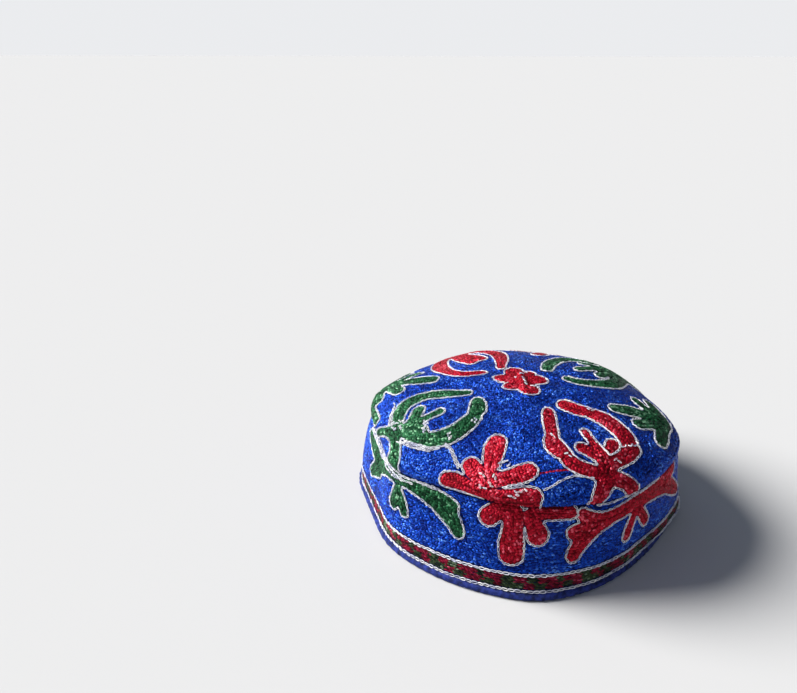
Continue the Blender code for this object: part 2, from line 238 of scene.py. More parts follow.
# Single rows of chain on the crown. Columns: colour, azimuth and distance of the chart's middle,
# points (x, y)
CROWN_CHAINS = (
    ("white", -5, SPRIG_MIDDLE, ((-25.2, 19.6), (-21.6, 14.6), (-18.4, 9.4), (-15.8, 5.6))),
    ("white", -5, SPRIG_MIDDLE, ((-23.4, 18.6), (-19.9, 13.6), (-16.9, 8.8), (-14.6, 6.4))),
    ("white", -5, SPRIG_MIDDLE, ((27.6, 4.8), (31.0, 8.3), (34.6, 13.0), (38.0, 16.0), (41.4, 18.0), (48.2, 20.3))),
    ("red", -5, SPRIG_MIDDLE, ((23.4, 12.0), (27.4, 14.4), (31.0, 16.6), (36.6, 19.4))),
    ("white", 315, HORN_MIDDLE, ((-33.0, 12.6), (-29.6, 11.0), (-27.0, 7.6), (-23.5, 3.4), (-19.5, 0.0))),
    ("white", 315, HORN_MIDDLE, ((2.0, -1.6), (6.0, 0.8), (10.5, 2.4), (15.0, 3.9), (19.4, 5.8), (22.4, 8.6))),
    ("white", 315, HORN_MIDDLE, ((0.6, -3.2), (5.4, -0.5), (10.4, 1.0), (15.6, 2.7), (20.4, 4.8))),
    ("white", 175, SPRIG_MIDDLE, ((-24.6, 19.0), (-21.2, 14.2), (-18.0, 9.0), (-15.6, 5.4))),
    ("white", 175, SPRIG_MIDDLE, ((27.6, 4.8), (31.0, 8.3), (34.6, 13.0), (38.0, 16.0), (41.4, 18.0), (48.2, 20.3))),
    ("red", 175, SPRIG_MIDDLE, ((23.4, 12.0), (27.4, 14.4), (31.0, 16.6), (36.6, 19.4))),
)
# Chains along the band's top edge. Columns: from and to, in degrees from the half's front; height
SEAM_CHAINS = ((-92.0, -38.0, 45.5), (-90.0, -46.0, 44.1), (-72.0, -50.0, 42.9), (17.0, 47.0, 45.6))
# Loose white stitches on top of the motifs. Columns: azimuth and distance of the chart's middle,
# from x and y, to x and y
MARKS = (
    (-5, SPRIG_MIDDLE, (4.0, 11.0), (8.0, 14.6)), (-5, SPRIG_MIDDLE, (8.4, 13.6), (9.0, 9.4)),
    (-5, SPRIG_MIDDLE, (2.0, 5.4), (4.6, 3.0)), (-5, SPRIG_MIDDLE, (-4.4, 4.6), (-1.4, 2.8)),
    (-5, SPRIG_MIDDLE, (1.4, 0.8), (4.2, -1.0)), (-5, SPRIG_MIDDLE, (-3.0, -1.4), (0.6, -2.6)),
    (-5, SPRIG_MIDDLE, (12.0, -3.2), (17.0, -1.2)), (-5, SPRIG_MIDDLE, (14.0, -1.0), (20.0, 1.6)),
    (45, HORN_MIDDLE, (-20.8, 29.6), (-19.0, 26.6)), (45, HORN_MIDDLE, (-22.6, 16.2), (-20.4, 14.0)),
    (45, HORN_MIDDLE, (11.4, 37.4), (14.4, 36.0)), (45, HORN_MIDDLE, (-2.0, 4.6), (1.4, 2.8)),
    (45, HORN_MIDDLE, (9.0, 9.0), (17.5, 7.4)), (45, HORN_MIDDLE, (20.0, 12.0), (19.6, 8.6)),
    (315, HORN_MIDDLE, (17.4, 33.6), (20.2, 32.6)), (315, HORN_MIDDLE, (17.8, 31.4), (20.8, 30.6)),
    (315, HORN_MIDDLE, (18.4, 19.4), (19.6, 15.6)), (315, HORN_MIDDLE, (20.8, 18.4), (21.4, 14.8)),
    (315, HORN_MIDDLE, (22.6, 12.4), (24.6, 10.8)), (315, HORN_MIDDLE, (0.6, 14.6), (4.4, 14.2)),
    (315, HORN_MIDDLE, (4.2, 13.2), (8.0, 11.6)), (315, HORN_MIDDLE, (-14.0, -0.6), (-8.0, 0.2)),
    (315, HORN_MIDDLE, (-10.0, 3.4), (-5.0, 2.4)), (315, HORN_MIDDLE, (-16.6, 1.6), (-11.0, 2.6)),
    (315, HORN_MIDDLE, (-19.0, -0.6), (-14.4, 1.0)), (315, HORN_MIDDLE, (-15.0, 4.6), (-10.6, 5.6)),
    (315, HORN_MIDDLE, (1.6, 16.4), (5.0, 15.6)), (315, HORN_MIDDLE, (5.4, 11.8), (9.0, 10.0)),
    (15, 0.0, (-11.0, -6.0), (-8.6, -3.2)), (15, 0.0, (4.0, -8.0), (9.0, -9.0)), (15, 0.0, (3.0, 12.6), (4.6, 8.6)),
    (15, 0.0, (0.4, 6.4), (0.2, 1.0)), (15, 0.0, (0.0, -1.6), (0.8, -7.0)), (15, 0.0, (-4.0, 4.0), (-1.6, 1.6)),
)
# The border above the binding. Columns: kind, height in millimetres
BORDER_ROWS = (("border", 4.1), ("block", 6.7), ("block", 9.7), ("border", 12.3))
BLOCK_LENGTH = 6.4
BLOCK_LINES = 5

# Where the soft wall stands out past the plain solid, or lies inside it. Columns: azimuth, half width
# in degrees, millimetres out, share of the way from the top to the seam where it starts, share of it
# that reaches the band's foot
BULGES = ((86.0, 32.0, 2.6, 0.85, 1.0), (122.0, 38.0, -3.6, 0.40, 0.3))

# Flat colours in linear light, from the darkest stitch to the brightest
THREADS = {
    "blue": ((0.002, 0.016, 0.200), (0.005, 0.046, 0.430), (0.012, 0.098, 0.680), (0.090, 0.260, 0.900)),
    "red": ((0.210, 0.001, 0.007), (0.440, 0.004, 0.020), (0.640, 0.012, 0.040), (0.900, 0.120, 0.180)),
    "green": ((0.003, 0.026, 0.012), (0.010, 0.078, 0.030), (0.034, 0.190, 0.075), (0.220, 0.480, 0.280)),
    "crimson": ((0.040, 0.001, 0.006), (0.170, 0.003, 0.018), (0.340, 0.010, 0.045), (0.600, 0.090, 0.160)),
    "olive": ((0.006, 0.012, 0.006), (0.022, 0.040, 0.016), (0.060, 0.095, 0.040), (0.200, 0.280, 0.180)),
    "white": ((0.500, 0.520, 0.700), (0.860, 0.870, 0.960), (0.960, 0.960, 1.000), (1.000, 1.000, 1.000)),
}
THREAD_STOPS = (0.0, 0.40, 0.90, 1.0)
BEDS = {"blue": (0.003, 0.012, 0.110), "red": (0.300, 0.004, 0.016), "green": (0.004, 0.045, 0.018)}


def smooth_step(share):
    share = np.clip(share, 0.0, 1.0)
    return share * share * (3 - 2 * share)


def soft_min(a, b, reach):
    """The smaller of two fields, with a soft blend where they cross."""
    h = np.clip(0.5 + 0.5 * (b - a) / reach, 0, 1)
    return b * (1 - h) + a * h - reach * h * (1 - h)


def smooth_path(points, steps=5):
    """A smooth curve through a few points, in any number of columns."""
    points = np.array(points, float)
    ends = np.vstack([2 * points[0] - points[1], points, 2 * points[-1] - points[-2]])
    share = np.linspace(0, 1, steps, endpoint=False)[:, None]
    curve = []
    for before, first, second, after in zip(ends, ends[1:], ends[2:], ends[3:]):
        slope_in, slope_out = (second - before) / 2, (after - first) / 2
        bend = 2 * (first - second) + slope_in + slope_out
        curve.append(first + share * (slope_in + share * (second - first - slope_in - bend * (1 - share))))
    return np.vstack(curve + [points[-1:]])


def stroke_distance(x, y, stroke):
    """Distance in millimetres from a tapered stroke, negative inside it."""
    nearest = np.full(x.shape, np.inf)
    for (ax, ay, ar), (bx, by, br) in zip(stroke, stroke[1:]):
        dx, dy = bx - ax, by - ay
        share = np.clip(((x - ax) * dx + (y - ay) * dy) / (dx * dx + dy * dy), 0, 1)
        gap = np.hypot(x - ax - share * dx, y - ay - share * dy) - (ar + share * (br - ar))
        nearest = np.minimum(nearest, gap)
    return nearest


def motif_distance(x, y, strokes, blend=1.0):
    """Distance from a motif, whose strokes run softly into each other. Far away it is FAR."""
    paths = [smooth_path(stroke) for stroke in strokes]
    low = np.min([path.min(0) for path in paths], axis=0) - FAR
    high = np.max([path.max(0) for path in paths], axis=0) + FAR
    columns = np.flatnonzero((x[:, 0] > low[0]) & (x[:, 0] < high[0]))
    rows = np.flatnonzero((y[0] > low[1]) & (y[0] < high[1]))
    result = np.full(x.shape, FAR)
    if not len(columns) or not len(rows):
        return result
    near = np.ix_(columns, rows)
    field = None
    for path in paths:
        gap = stroke_distance(x[near], y[near], path)
        field = gap if field is None else soft_min(field, gap, blend)
    result[near] = np.minimum(field, FAR)
    return result


def on_crown(points, azimuth, middle):
    """Moves a motif's points from its own chart to the crown's chart."""
    points = np.array(points, float)
    turn = radians(azimuth)
    moved = points.copy()
    out = middle - points[:, 1]
    moved[:, 0] = points[:, 0] * cos(turn) + out * sin(turn)
    moved[:, 1] = points[:, 0] * sin(turn) - out * cos(turn)
    return moved


def on_band(points, front):
    """Moves a motif's points, with x in degrees from the front of its half, to the band's chart."""
    points = np.array(points, float)
    points[:, 0] = ((points[:, 0] + front + 180) % 360 - 180) * MM_PER_DEGREE
    if np.ptp(points[:, 0]) > BAND_LENGTH / 2:
        points[:, 0] = np.where(points[:, 0] < 0, points[:, 0] + BAND_LENGTH, points[:, 0])
    return points


class Chart:
    """A flat chart of one cloth wall, with a distance field for each motif."""

    def __init__(self, x_range, y_range, wraps):
        self.wraps = wraps
        self.x0, self.y0 = x_range[0], y_range[0]
        self.columns = int(round((x_range[1] - x_range[0]) / CHART_STEP)) + 1
        self.rows = int(round((y_range[1] - y_range[0]) / CHART_STEP)) + 1
        xs = self.x0 + CHART_STEP * np.arange(self.columns)
        ys = self.y0 + CHART_STEP * np.arange(self.rows)
        self.x, self.y = np.meshgrid(xs, ys, indexing="ij")
        self.patches = []
        self.chains = {"white": [], "red": []}
        self.all = np.full(self.x.shape, FAR)

    def add(self, colour, strokes, over=None):
        """Adds a motif. over is a patch that lies on top of this one."""
        field = motif_distance(self.x, self.y, strokes)
        if self.wraps:
            for shift in (-BAND_LENGTH, BAND_LENGTH):
                field = np.minimum(field, motif_distance(self.x + shift, self.y, strokes))
        self.patches.append({"colour": colour, "field": field, "over": over})
        self.all = np.minimum(self.all, field)
        return self.patches[-1]

    def add_chain(self, colour, line):
        """Adds a single row of chain, and keeps the ground stitches clear of it."""
        stroke = np.column_stack([line, np.zeros(len(line))])
        self.chains[colour].append(line)
        self.all = np.minimum(self.all, stroke_distance(self.x, self.y, stroke) + 0.2)

    def read(self, field, x, y):
        """A field's values at chart points."""
        column = np.clip((x - self.x0) / CHART_STEP, 0, self.columns - 1.001)
        row = np.clip((y - self.y0) / CHART_STEP, 0, self.rows - 1.001)
        i, j = column.astype(int), row.astype(int)
        s, t = column - i, row - j
        low = field[i, j] * (1 - s) + field[i + 1, j] * s
        high = field[i, j + 1] * (1 - s) + field[i + 1, j + 1] * s
        return low * (1 - t) + high * t

    def contours(self, field, level):
        """The lines where a field crosses a level, as arrays of chart points."""
        value = field - level
        value = np.where(value == 0, 1e-6, value)
        inside = value < 0
        flat_x = inside[:-1, :] != inside[1:, :]
        flat_y = inside[:, :-1] != inside[:, 1:]
        count_x, count_y = int(flat_x.sum()), int(flat_y.sum())
        name_x, name_y = np.full(flat_x.shape, -1), np.full(flat_y.shape, -1)
        name_x[flat_x] = np.arange(count_x)
        name_y[flat_y] = np.arange(count_x, count_x + count_y)
        share_x = value[:-1, :][flat_x] / (value[:-1, :] - value[1:, :])[flat_x]
        share_y = value[:, :-1][flat_y] / (value[:, :-1] - value[:, 1:])[flat_y]
        places = np.vstack([
            np.column_stack([self.x[:-1, :][flat_x] + share_x * CHART_STEP, self.y[:-1, :][flat_x]]),
            np.column_stack([self.x[:, :-1][flat_y], self.y[:, :-1][flat_y] + share_y * CHART_STEP]),
        ])
        sides = np.stack([name_x[:, :-1], name_y[1:, :], name_x[:, 1:], name_y[:-1, :]], -1).reshape(-1, 4)
        sides = sides[(sides >= 0).any(1)]
        links = [[] for _ in places]
        for cell in sides.tolist():
            found = [name for name in cell if name >= 0]
            for a, b in zip(found[::2], found[1::2]):
                links[a].append(b)
                links[b].append(a)
        return chained(places, links)


def chained(places, links):
    """Joins linked points into lines, open ones first."""
    lines = []
    used = np.zeros(len(places), bool)
    for want in (1, 2):
        for start in range(len(places)):
            if used[start] or len(links[start]) != want:
                continue
            line = [start]
            used[start] = True
            here = start
            while True:
                onward = [name for name in links[here] if not used[name]]
                if not onward:
                    break
                here = onward[0]
                used[here] = True
                line.append(here)
            if want == 2:
                line.append(start)
            lines.append(places[line])
    return lines


def stitches_along(lines, pitch):
    """Middles, headings and lengths of stitches laid end to end along lines."""
    middles, headings, lengths = [], [], []
    for line in lines:
        reach = np.concatenate([[0], np.cumsum(np.hypot(*np.diff(line, axis=0).T))])
        count = int(reach[-1] / pitch + 0.35)
        if count < 1:
            continue
        ends = np.linspace(0, reach[-1], count + 1)
        knots = np.column_stack([np.interp(ends, reach, line[:, 0]), np.interp(ends, reach, line[:, 1])])
        step = np.diff(knots, axis=0)
        size = np.hypot(step[:, 0], step[:, 1])
        keep = size > 0.25 * pitch
        middles.append(((knots[1:] + knots[:-1]) / 2)[keep])
        headings.append((step / np.maximum(size, 1e-9)[:, None])[keep])
        lengths.append(size[keep])
    if not middles:
        return np.zeros((0, 2)), np.zeros((0, 2)), np.zeros(0)
    return np.vstack(middles), np.vstack(headings), np.concatenate(lengths)


def tree_of(node):
    """A node's faces, ready to be hit by rays."""
    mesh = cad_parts[node].data
    return BVHTree.FromPolygons([v.co for v in mesh.vertices], [tuple(p.vertices) for p in mesh.polygons])


def outer_hit(tree, azimuth, elevation, height):
    """The point of a node's outer face in one direction from the pole."""
    turn = radians(azimuth)
    out = Vector((sin(turn) * cos(elevation), -cos(turn) * cos(elevation), sin(elevation)))
    middle = Vector((POLE_X, POLE_Y, height))
    return tree.ray_cast(middle + 0.3 * out, -out, 0.3)[0]


def bulged(lines, rise):
    """Lines round the cap, moved out where the soft wall bulges. rise turns a bulge's start on the crown
    and its share at the foot into shares of it along a line."""
    azimuths = np.arange(len(lines)) * 360 / len(lines)
    turns = np.radians(azimuths)
    moved = lines.copy()
    for azimuth, half_width, reach, start, at_foot in BULGES:
        away = np.abs((azimuths - azimuth + 180) % 360 - 180) / half_width
        out = reach * MM * smooth_step(1 - away)
        moved[..., 0] += (out * np.sin(turns))[:, None] * rise(start, at_foot)
        moved[..., 1] -= (out * np.cos(turns))[:, None] * rise(start, at_foot)
    return moved


def evened(points, count):
    """The same line with its points at even distances."""
    reach = np.concatenate([[0], np.cumsum(np.linalg.norm(np.diff(points, axis=0), axis=1))])
    even = np.linspace(0, reach[-1], count)
    return np.column_stack([np.interp(even, reach, points[:, axis]) for axis in range(3)])


def crown_lines(count_around=72, count_along=161):
    """The crown's outer face as lines from the top to the seam, read from its node."""
    tree = tree_of("crown")
    edge_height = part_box("crown")[0].z + 0.00005
    base = edge_height - 0.020
    lines = []
    for azimuth in np.arange(count_around) * 360 / count_around:
        edge = outer_hit(tree, azimuth, 0.0, edge_height)
        lowest = atan2(edge_height - base, hypot(edge.x - POLE_X, edge.y - POLE_Y))
        rays = [outer_hit(tree, azimuth, elevation, base) for elevation in np.linspace(pi / 2, lowest, 200)]
        lines.append(evened(np.array([hit for hit in rays if hit is not None]), count_along))
    along = np.linspace(0, 1, count_along)
    return bulged(np.array(lines), lambda start, at_foot: smooth_step((along - start) / (1 - start)))


def band_lines(count_around=72, count_along=33):
    """The band's outer face as lines from its foot to the seam, read from its node."""
    tree = tree_of("side_band")
    low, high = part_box("side_band")
    lines = []
    for azimuth in np.arange(count_around) * 360 / count_around:
        heights = np.linspace(low.z + 0.00005, high.z - 0.00005, count_along)
        lines.append([tuple(outer_hit(tree, azimuth, 0.0, height)) for height in heights])
    lines = np.array(lines)
    lines[:, -1, 2] = BAND_TOP * MM
    return bulged(lines, lambda start, at_foot: np.linspace(at_foot, 1, count_along))


class Skin:
    """A cloth wall's outer face, known on a fine grid round and along the cloth."""

    def __init__(self, lines, inner_end_is_pole):
        around = 10 * len(lines)
        waves = np.fft.rfft(lines, axis=0)
        self.points = np.fft.irfft(waves, around, axis=0) * 10
        wrapped = np.concatenate([self.points[-1:], self.points, self.points[:1]])
        sideways = (wrapped[2:] - wrapped[:-2]) / 2
        onward = np.gradient(self.points, axis=1)
        normals = np.cross(sideways, onward) * (-1 if inner_end_is_pole else 1)
        if inner_end_is_pole:
            normals[:, 0] = normals[:, 1].mean(0)
        self.normals = normals / np.linalg.norm(normals, axis=2, keepdims=True)

    def at(self, turn, share):
        """Points and normals at azimuths in degrees and shares of the way along."""
        rows, columns = self.points.shape[:2]
        row = (turn / 360 % 1) * rows
        column = np.clip(share, 0, 1) * (columns - 1)
        i = row.astype(int) % rows
        j = np.minimum(column.astype(int), columns - 2)
        s, t = (row - np.floor(row))[..., None], (column - j)[..., None]
        i_next = (i + 1) % rows
        out = []
        for grid in (self.points, self.normals):
            low = grid[i, j] * (1 - s) + grid[i_next, j] * s
            high = grid[i, j + 1] * (1 - s) + grid[i_next, j + 1] * s
            out.append(low * (1 - t) + high * t)
        return out[0], out[1] / np.linalg.norm(out[1], axis=-1, keepdims=True)


class Wall:
    """A cloth wall: its chart, its skin and the relief that the thread gives it."""

    def __init__(self, name, chart, skin):
        self.name, self.chart, self.skin = name, chart, skin
        self.relief = None

    def turn_and_share(self, x, y):
        if self.name == "crown":
            return np.degrees(np.arctan2(x, -y)), np.hypot(x, y) / CROWN_REACH
        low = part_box("side_band")[0].z / MM
        return x / MM_PER_DEGREE, (y - low) / (BAND_TOP - low)

    def at(self, x, y, lift=0.0):
        """Places in the frame of chart points, lifted off the cloth by millimetres, with normals."""
        turn, share = self.turn_and_share(x, y)
        points, normals = self.skin.at(turn, share)
        height = lift + self.chart.read(self.relief, x, y)
        return points + normals * (height * MM)[..., None], normals

    def bake_place(self, x, y, anchor_x):
        """Where chart points lie on the picture that an export may bake, from 0 to 1."""
        if self.name == "crown":
            size = 2 * (CROWN_REACH + 4)
            return x / size + 0.5, y / size + 0.5
        quarter = np.clip(np.floor((anchor_x / BAND_LENGTH + 0.5) * 4), 0, 3)
        start = (quarter / 4 - 0.5) * BAND_LENGTH
        across = (x - start) / (BAND_LENGTH / 4)
        return 0.03 + 0.94 * across, (quarter + 0.04 + 0.92 * y / 48) / 4


def crown_chart():
    """The crown's motifs: a rosette, four horned motifs and four sprigs."""
    edge = CROWN_REACH + 3
    chart = Chart((-edge, edge), (-edge, edge), False)
    for azimuth, middle, colour, strokes in CROWN_MOTIFS:
        motif = chart.add(colour, [on_crown(rows, azimuth, middle) for rows in strokes.values()])
        if strokes is HORN_FRONT_RIGHT:
            lobe = [on_crown(rows, azimuth, middle) for rows in HORN_INNER_LOBE.values()]
            chart.add(colour, lobe, over=motif)
    for colour, azimuth, middle, rows in CROWN_CHAINS:
        chart.add_chain(colour, smooth_path(on_crown(rows, azimuth, middle)))
    return chart


def band_chart():
    """The band's motifs: on each half a hanging sprig between a red and a green branch."""
    half = BAND_LENGTH / 2
    chart = Chart((-half, half), (0.0, 48 * CHART_STEP * 2), True)
    for front in BAND_HALVES:
        for colour, strokes in (("red", BAND_SPRIG), ("red", BRANCH_RIGHT), ("green", BRANCH_LEFT)):
            chart.add(colour, [on_band(rows, front) for rows in strokes.values()])
        for start, end, height in SEAM_CHAINS:
            azimuths = np.linspace(start, end, 60)
            wave = 0.25 * np.sin(azimuths / 2.3 + height)
            chart.add_chain("white", on_band(np.column_stack([azimuths, height + wave]), front))
    return chart


def thread_relief(chart):
    """Height that the stitched layers add: motifs stand a little proud, outlines are drawn in."""
    inner = smooth_step(-chart.all / 2.4)
    furrow = np.exp(-((chart.all / 1.3) ** 2))
    return 0.42 * inner - 0.12 * furrow + sin_waves(chart.x, chart.y)


def sin_waves(x, y):
    """Slow unevenness of a hand-guided cloth, in millimetres."""
    slow = np.sin(x / 9.1 + 1.3 * np.sin(y / 13.7)) * np.sin(y / 8.3 + 1.1 * np.sin(x / 11.9))
    quick = np.sin(x / 3.7 + 2.1 * np.sin(y / 5.3)) * np.sin(y / 4.1 + 1.7 * np.sin(x / 4.9))
    return 0.20 * slow + 0.07 * quick


def grain_template():
    """A tight chain link: two plump strands side by side with a furrow between them.

    Columns of points: along, across and up, as shares of half the length, half the width and the height.
    """
    across = ((-1.0, -0.15), (-0.55, 0.95), (0.0, 0.50), (0.55, 0.95), (1.0, -0.15))
    return lofted(across)


def dash_template():
    """A tight chain link seen as one plump strand."""
    return lofted(((-1.0, -0.15), (0.0, 1.0), (1.0, -0.15)))


def lofted(across):
    """A stitch with one cross section, full in the middle and pointed at both ends."""
    count = len(across)
    sections = ((-0.60, 0.74, 0.74), (0.0, 1.0, 1.0), (0.62, 0.82, 0.88))
    points = [(-1.14, 0.0, -0.10)]
    for along, wide, high in sections:
        points += [(along, side * wide, up * high) for side, up in across]
    points.append((1.12, 0.0, 0.15))
    last = 1 + count * (len(sections) - 1)
    faces = [(0, 2 + k, 1 + k) for k in range(count - 1)]
    for first in range(1, last, count):
        faces += [(first + k, first + k + 1, first + k + 1 + count, first + k + count) for k in range(count - 1)]
    faces += [(last + k, last + k + 1, last + count) for k in range(count - 1)]
    return np.array(points), faces


def link_template(bends=10, sides=4, thread=0.23):
    """An open chain link: one round thread that leaves a hole, loops and comes back to it."""
    turns = 2 * pi * (np.arange(bends) + 0.5) / bends
    along = -np.cos(turns)
    across = np.sin(turns) * (0.82 - 0.20 * np.cos(turns))
    up = 0.55 + 0.35 * along
    path = np.column_stack([along * 1.10 + 0.04, across * 0.78, up])
    ahead = np.roll(path, -1, axis=0) - np.roll(path, 1, axis=0)
    ahead[:, 2] = 0
    ahead /= np.linalg.norm(ahead, axis=1, keepdims=True)
    side = np.column_stack([ahead[:, 1], -ahead[:, 0], np.zeros(bends)])
    points = []
    for step in range(bends):
        for corner in range(sides):
            angle = 2 * pi * (corner + 0.5) / sides
            points.append(path[step] + side[step] * thread * cos(angle) + np.array((0, 0, 0.62 * sin(angle))))
    faces = []
    for step in range(bends):
        for corner in range(sides):
            a = step * sides + corner
            b = step * sides + (corner + 1) % sides
            c = ((step + 1) % bends) * sides + (corner + 1) % sides
            d = ((step + 1) % bends) * sides + corner
            faces.append((a, b, c, d))
    return np.array(points), faces


def new_mesh(name, points, faces, uvs, tones=None, beds=None):
    """A mesh from arrays. faces is one array for each number of corners; the rest is per vertex."""
    corners = np.concatenate([group.ravel() for group in faces])
    sizes = np.concatenate([np.full(len(group), group.shape[1]) for group in faces])
    mesh = bpy.data.meshes.new(name)
    mesh.vertices.add(len(points))
    mesh.vertices.foreach_set("co", points.astype(np.float32).ravel())
    mesh.loops.add(len(corners))
    mesh.loops.foreach_set("vertex_index", corners.astype(np.int32))
    mesh.polygons.add(len(sizes))
    mesh.polygons.foreach_set("loop_start", (np.cumsum(sizes) - sizes).astype(np.int32))
    mesh.update(calc_edges=True)
    for layer_name, places in uvs.items():
        layer = mesh.uv_layers.new(name=layer_name)
        layer.uv.foreach_set("vector", places[corners].astype(np.float32).ravel())
    if tones is not None:
        tone = mesh.attributes.new("tone", "FLOAT", "POINT")
        tone.data.foreach_set("value", tones.astype(np.float32))
    if beds is not None:
        bed = mesh.color_attributes.new("bed", "FLOAT_COLOR", "POINT")
        bed.data.foreach_set("color", np.column_stack([beds, np.ones(len(beds))]).astype(np.float32).ravel())
    mesh.shade_smooth()
    mesh.validate()
    return mesh


def add_object(name, mesh, material):
    thing = bpy.data.objects.new(name, mesh)
    bpy.context.collection.objects.link(thing)
    mesh.materials.append(material)
    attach(thing, "root")
    return thing


def turned(ahead, aside, angle):
    """Two directions, turned towards each other by angles in radians."""
    return ahead * np.cos(angle) + aside * np.sin(angle), aside * np.cos(angle) - ahead * np.sin(angle)


def stitch_mesh(name, template, groups, kind):
    """One joined mesh: a copy of the template for each stitch.

    groups is a list of (wall, middles, headings, lengths), in chart millimetres.
    """
    width, rise, heading_spread, place_spread, roll_spread, lift = STITCHES[kind]
    shape, shape_faces = template
    all_points, all_faces = [], {3: [], 4: []}
    bake, strand, tones = [], [], []
    start = 0
    for wall, middles, headings, lengths in groups:
        count = len(middles)
        if not count:
            continue
        middles = middles + dice.normal(0, place_spread, (count, 2))
        headings, turned_headings = turned(
            headings,
            np.column_stack([-headings[:, 1], headings[:, 0]]),
            np.radians(dice.normal(0, heading_spread, (count, 1))),
        )
        half = headings * (lengths / 2)[:, None]
        ends = [wall.at(*(middles + sign * half).T) for sign in (-1, 1)]
        origin, normal = wall.at(*middles.T, lift)
        along = (ends[1][0] - ends[0][0]) / 2
        reach = np.linalg.norm(along, axis=1, keepdims=True)
        ahead = along / reach
        normal = normal - ahead * (normal * ahead).sum(1, keepdims=True)
        normal /= np.linalg.norm(normal, axis=1, keepdims=True)
        across = np.cross(normal, ahead)
        across, normal = turned(across, normal, np.radians(dice.normal(0, roll_spread, (count, 1))))
        ahead, normal = turned(ahead, normal, np.radians(dice.normal(0, roll_spread / 3, (count, 1))))
        wide = width / 2 * MM * dice.uniform(0.80, 1.15, (count, 1))
        high = rise * MM * dice.uniform(0.75, 1.20, (count, 1))
        points = (
            origin[:, None]
            + shape[None, :, :1] * (ahead * reach)[:, None]
            + shape[None, :, 1:2] * (across * wide)[:, None]
            + shape[None, :, 2:] * (normal * high)[:, None]
        )
        all_points.append(points.reshape(-1, 3))
        chart = (
            middles[:, None]
            + shape[None, :, :1] * half[:, None]
            + shape[None, :, 1:2] * (turned_headings * width / 2)[:, None]
        )
        u, v = wall.bake_place(chart[..., 0], chart[..., 1], middles[:, :1])
        bake.append(np.stack([u, v], -1).reshape(-1, 2))
        strand_place = np.stack([
            shape[None, :, 0] * lengths[:, None] / 2 + dice.uniform(0, 9, (count, 1)),
            np.repeat(shape[None, :, 1], count, 0) * width / 2,
        ], -1)
        strand.append(strand_place.reshape(-1, 2))
        tones.append(np.repeat(dice.uniform(0, 1, count), len(shape)))
        for corners in (3, 4):
            faces = np.array([face for face in shape_faces if len(face) == corners], int)
            if len(faces):
                offsets = start + np.arange(count) * len(shape)
                all_faces[corners].append((faces[None] + offsets[:, None, None]).reshape(-1, corners))
        start += count * len(shape)
    faces = [np.vstack(found) for found in all_faces.values() if found]
    uvs = {"OFBake": np.vstack(bake), "strand": np.vstack(strand)}
    return new_mesh(name, np.vstack(all_points), faces, uvs, tones=np.concatenate(tones))


def bed_colours(wall, x, y):
    """The cloth's colour under the stitches at chart points: each motif is drawn on it in its own."""
    colours = np.tile(BEDS["blue"], (len(x), 1))
    for patch in wall.chart.patches:
        colours[wall.chart.read(patch["field"], x, y) < -0.45] = BEDS[patch["colour"]]
    return colours


def crown_shell(wall, around=360, along=110, wall_mm=2.0, bed=0.16):
    """The crown's cloth: closed, with the relief on its outer face."""
    turns = np.arange(around) * 360 / around
    outer_shares = (np.arange(1, along + 1) / along)
    inner_shares = np.linspace(1, 0.04, 24)
    rows, charts, colours = [], [], []
    for share in outer_shares:
        x, y = chart_ring(turns, share)
        points, _ = wall.at(x, y, -bed)
        rows.append(points)
        charts.append(np.column_stack([x, y]))
        colours.append(bed_colours(wall, x, y))
    for share in inner_shares:
        x, y = chart_ring(turns, share)
        points, normals = wall.skin.at(turns, np.full(around, share))
        rows.append(points - normals * wall_mm * MM)
        charts.append(np.column_stack([x, y]))
        colours.append(np.tile(BEDS["blue"], (around, 1)))
    zero = np.zeros(1)
    top, normal = wall.at(zero, zero, -bed)
    points = np.vstack(rows + [top, top - normal * (wall_mm - bed) * MM])
    chart = np.vstack(charts + [np.zeros((2, 2))])
    colours = np.vstack(colours + [BEDS["red"], BEDS["blue"]])
    return ring_mesh("crown_cloth", wall, points, chart, colours, around, len(rows), True)


def band_shell(wall, around=360, along=44, wall_mm=1.8, bed=0.16):
    """The band's cloth: closed, from inside the binding to the seam."""
    turns = np.arange(around) * 360 / around - 180
    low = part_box("side_band")[0].z / MM
    rows, charts, colours = [], [], []
    for share in np.linspace(1, 0, along):
        x, y = turns * MM_PER_DEGREE, np.full(around, low + share * (BAND_TOP - low))
        points, _ = wall.at(x, y, -bed)
        rows.append(points)
        charts.append(np.column_stack([x, y]))
        colours.append(bed_colours(wall, x, y))
    for share in np.linspace(0, 1, 12):
        x, y = turns * MM_PER_DEGREE, np.full(around, low + share * (BAND_TOP - low))
        points, normals = wall.skin.at(turns, np.full(around, share))
        rows.append(points - normals * wall_mm * MM)
        charts.append(np.column_stack([x, y]))
        colours.append(np.tile(BEDS["blue"], (around, 1)))
    return ring_mesh("band_cloth", wall, np.vstack(rows), np.vstack(charts), np.vstack(colours), around, len(rows), False)


def chart_ring(turns, share):
    """A ring of the crown's chart."""
    reach = share * CROWN_REACH
    return reach * np.sin(np.radians(turns)), -reach * np.cos(np.radians(turns))


